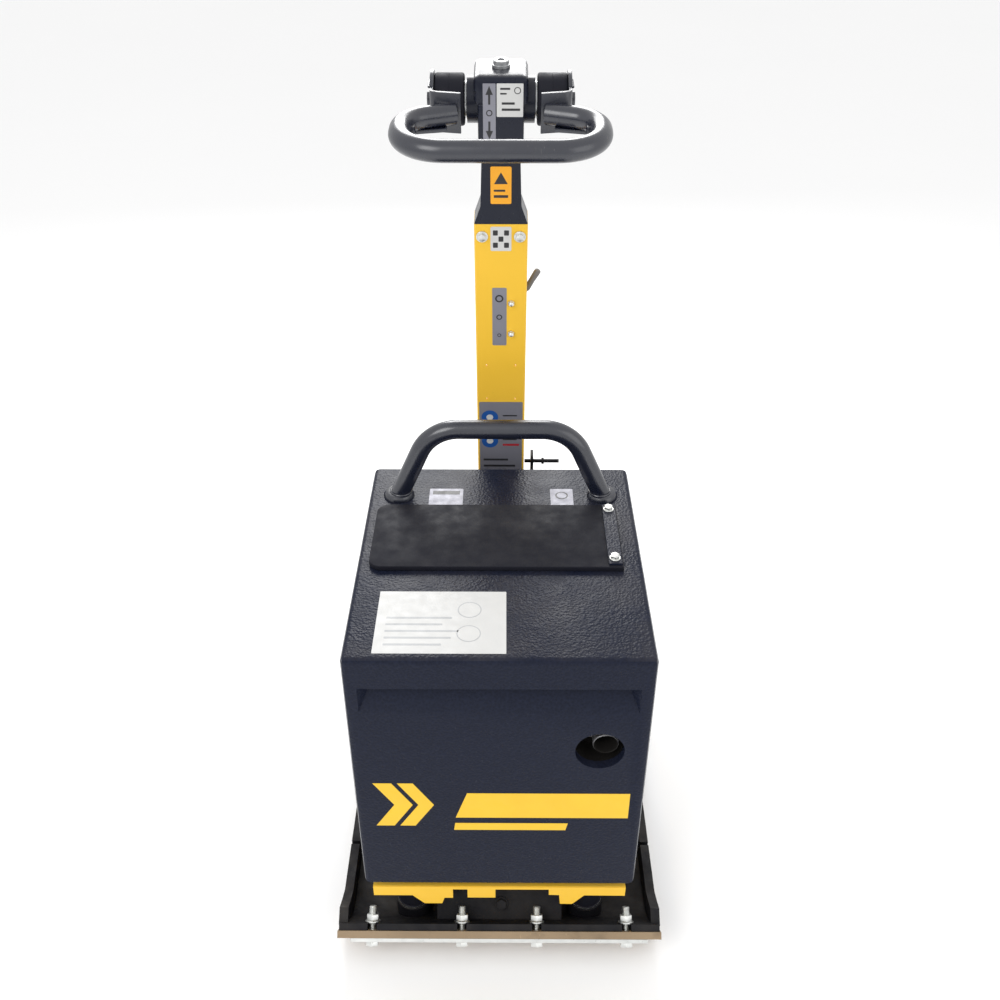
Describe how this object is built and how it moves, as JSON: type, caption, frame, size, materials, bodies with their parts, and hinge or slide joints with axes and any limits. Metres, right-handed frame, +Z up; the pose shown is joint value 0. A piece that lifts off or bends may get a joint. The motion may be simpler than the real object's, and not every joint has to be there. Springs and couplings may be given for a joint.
{
  "type": "plate compactor",
  "caption": "Reversible diesel plate compactor: curved-lip plate with rubber mat, closed sheet hood with lifting bow, upright drawbar with travel bow and throttle lever.",
  "frame": {"origin": "middle of the flat sole, on the ground under the mat", "axes": "+X to the right seen from the front, +Y to the rear where the drawbar stands, +Z up"},
  "size_m": [0.5, 0.6289, 1.2419],
  "materials": {
    "yellow_paint": "semi-gloss powder coat",
    "hood_paint": "dark blue-grey hammered powder coat",
    "black_cast": "black paint over a cast skin",
    "cast_metal": "bare cast and machined metal",
    "steel": "bare machined steel",
    "zinc": "bright zinc plate",
    "rubber": "matt black rubber",
    "mat": "tan polyurethane sheet",
    "black_plastic": "moulded, lightly grained",
    "grey_grip": "worn grey grip over a flat lever"
  },
  "bodies": {
    "base": {"base_plate": "black_cast", "sole_mat": "mat", "mat_clamp_strip": "zinc", "clamp_bolt_1": "zinc", "clamp_bolt_2": "zinc", "clamp_bolt_3": "zinc", "clamp_bolt_4": "zinc", "clamp_nut_1": "zinc", "clamp_nut_2": "zinc", "clamp_nut_3": "zinc", "clamp_nut_4": "zinc", "drain_plug": "steel", "exciter_housing": "cast_metal", "exciter_cover_left": "cast_metal", "exciter_cover_right": "cast_metal", "rubber_buffer_1": "rubber", "rubber_buffer_2": "rubber", "rubber_buffer_3": "rubber", "rubber_buffer_4": "rubber", "v_belt": "rubber"},
    "front_eccentric": {"eccentric_shaft_front": "steel", "exciter_gear_front": "steel"},
    "rear_eccentric": {"eccentric_shaft_rear": "steel", "exciter_gear_rear": "steel", "exciter_pulley": "cast_metal"},
    "upper": {"engine_console": "yellow_paint", "crankcase": "cast_metal", "engine_cylinder": "cast_metal", "fan_cowl": "black_plastic", "fuel_tank": "black_plastic", "air_filter": "black_plastic", "muffler": "cast_metal", "exhaust_pipe": "cast_metal", "hood": "hood_paint", "lifting_bow": "hood_paint", "flap_root": "rubber", "flap_clamp_strip": "hood_paint", "flap_bolt_front": "zinc", "flap_bolt_rear": "zinc", "drawbar_pivot_pin": "steel", "latch_bracket": "black_cast"},
    "crank": {"crankshaft": "steel", "clutch_drum": "cast_metal"},
    "starter": {"starter_grip": "black_plastic"},
    "tank_cap": {"fuel_cap": "black_plastic"},
    "flap": {"rubber_flap": "rubber"},
    "latch": {"latch_pin": "black_cast"},
    "drawbar": {"drawbar_channel": "yellow_paint", "control_head": "hood_paint", "filler_plug": "steel", "drawbar_bolt_left": "zinc", "drawbar_bolt_right": "zinc", "throttle_quadrant": "steel", "throttle_nut_lower": "zinc", "throttle_nut_upper": "zinc"},
    "throttle": {"throttle_lever": "grey_grip"},
    "travel_bow": {"handle_bow": "hood_paint", "handle_rubber_left": "rubber", "handle_rubber_right": "rubber", "cross_shaft": "steel"}
  },
  "joints": [
    {"name": "buffer_travel", "type": "slide", "parent": "base", "child": "upper", "axis": [0, 0, 1], "range_m": [-0.006, 0.004], "stiffness_N_per_m": 400000, "springref_m": 0.00205, "deforming": ["rubber_buffer_1", "rubber_buffer_2", "rubber_buffer_3", "rubber_buffer_4", "v_belt"]},
    {"name": "front_eccentric_spin", "type": "hinge", "parent": "base", "child": "front_eccentric", "pos_m": [0, -0.036, 0.072], "axis": [1, 0, 0], "continuous": true},
    {"name": "rear_eccentric_spin", "type": "hinge", "parent": "base", "child": "rear_eccentric", "pos_m": [0, 0.036, 0.072], "axis": [1, 0, 0], "continuous": true},
    {"name": "engine_spin", "type": "hinge", "parent": "upper", "child": "crank", "pos_m": [0, 0.03, 0.3], "axis": [1, 0, 0], "continuous": true},
    {"name": "starter_pull", "type": "slide", "parent": "upper", "child": "starter", "axis": [0, 1, 0], "range_m": [0, 0.185], "stiffness_N_per_m": 60, "springref_m": -0.3},
    {"name": "fuel_cap_turn", "type": "hinge", "parent": "upper", "child": "tank_cap", "pos_m": [-0.02, -0.015, 0.608], "axis": [0, 0, 1], "range_deg": [0, 120]},
    {"name": "flap_lift", "type": "hinge", "parent": "upper", "child": "flap", "pos_m": [0.15, -0.016, 0.6338], "axis": [0, 1, 0], "range_deg": [0, 105]},
    {"name": "latch_slide", "type": "slide", "parent": "upper", "child": "latch", "axis": [1, 0, 0], "range_m": [-0.012, 0]},
    {"name": "drawbar_tilt", "type": "hinge", "parent": "upper", "child": "drawbar", "pos_m": [0, 0.295, 0.25], "axis": [-1, 0, 0], "range_deg": [0, 62]},
    {"name": "throttle_turn", "type": "hinge", "parent": "drawbar", "child": "throttle", "pos_m": [0.0155, 0.23479, 0.87079], "axis": [0, 0.9953, 0.0965], "range_deg": [0, 100]},
    {"name": "travel_lever_swing", "type": "hinge", "parent": "drawbar", "child": "travel_bow", "pos_m": [0, 0.21003, 1.18818], "axis": [1, 0, 0], "range_deg": [-22, 22]}
  ],
  "couplings": [
    {"joint": "rear_eccentric_spin", "follows": "engine_spin", "ratio": 1.8},
    {"joint": "front_eccentric_spin", "follows": "engine_spin", "ratio": -1.8}
  ]
}
